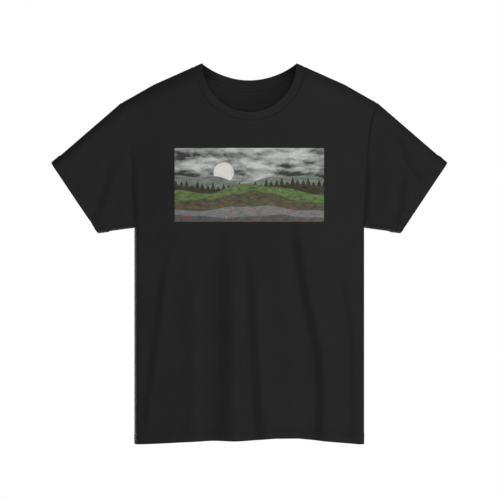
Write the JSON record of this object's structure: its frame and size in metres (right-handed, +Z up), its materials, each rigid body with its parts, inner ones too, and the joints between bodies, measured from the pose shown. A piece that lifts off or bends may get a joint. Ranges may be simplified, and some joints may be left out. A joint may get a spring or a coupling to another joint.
{
  "type": "t-shirt",
  "caption": "Short-sleeved crew-neck T-shirt in black cotton jersey, filled out as worn, open at neck, cuffs and hem, with a rib neckband and a wide chest print.",
  "frame": {"origin": "middle of the neck opening, level with the two points where neck and shoulders meet", "axes": "+X towards the wearer's left, -Y out of the shirt's front, +Z up"},
  "size_m": [0.7868, 0.1485, 0.762],
  "materials": {
    "jersey": "black cotton jersey, matt, fine knit",
    "rib": "black cotton rib, matt",
    "tape": "black twill tape",
    "print": "matt textile ink in greys, greens and browns"
  },
  "bodies": {
    "root": {"front_panel": "jersey", "back_panel": "jersey", "sleeve_left": "jersey", "sleeve_right": "jersey", "neckband": "rib", "neck_tape": "tape", "chest_print": "print"}
  },
  "joints": []
}
